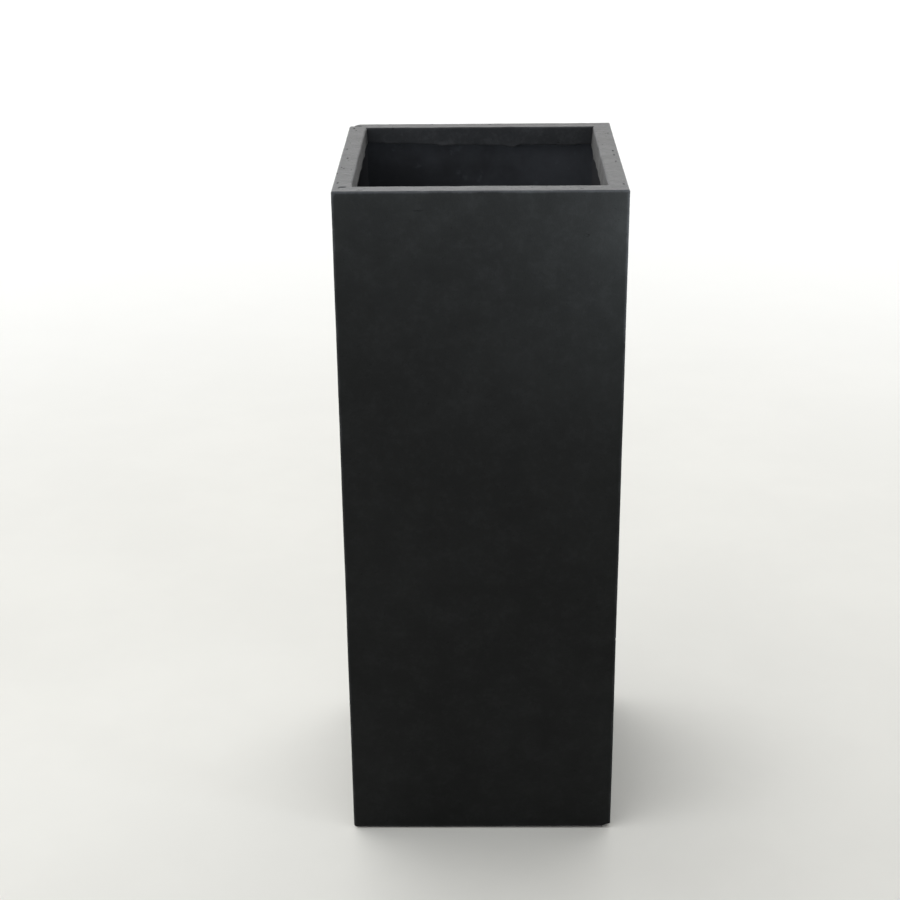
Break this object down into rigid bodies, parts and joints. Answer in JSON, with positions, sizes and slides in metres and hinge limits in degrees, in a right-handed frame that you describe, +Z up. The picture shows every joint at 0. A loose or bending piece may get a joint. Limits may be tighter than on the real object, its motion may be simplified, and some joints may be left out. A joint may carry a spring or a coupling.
{
  "type": "planter box",
  "caption": "Tall square free-standing planter with a flat thickened rim, an open top, a raised base with a drain and rubber foot pads.",
  "frame": {"origin": "on the ground under the middle of the box", "axes": "+Z up, +X to the right seen from the front, and the front panel faces -Y"},
  "size_m": [0.353, 0.353, 0.9],
  "materials": {
    "wall_finish": "matte",
    "rim_finish": "matte",
    "joint_filler": "matte",
    "base_laminate": "matte",
    "black_rubber": "matte",
    "bushing_plastic": "satin",
    "stopper_rubber": "matte"
  },
  "bodies": {
    "planter": {"front_wall": "wall_finish", "right_wall": "wall_finish", "back_wall": "wall_finish", "left_wall": "wall_finish", "front_rim_rail": "rim_finish", "right_rim_rail": "rim_finish", "back_rim_rail": "rim_finish", "left_rim_rail": "rim_finish", "corner_fillet_front_left": "joint_filler", "corner_fillet_front_right": "joint_filler", "corner_fillet_back_right": "joint_filler", "corner_fillet_back_left": "joint_filler", "floor_fillet_front": "joint_filler", "floor_fillet_right": "joint_filler", "floor_fillet_back": "joint_filler", "floor_fillet_left": "joint_filler", "base_panel": "base_laminate", "foot_pad_front_left": "black_rubber", "foot_pad_front_right": "black_rubber", "foot_pad_back_right": "black_rubber", "foot_pad_back_left": "black_rubber", "drain_bushing": "bushing_plastic"},
    "stopper": {"drain_stopper": "stopper_rubber"}
  },
  "joints": [
    {"name": "stopper_lift", "type": "slide", "parent": "planter", "child": "stopper", "axis": [0, 0, 1], "range_m": [0, 0.03]}
  ]
}
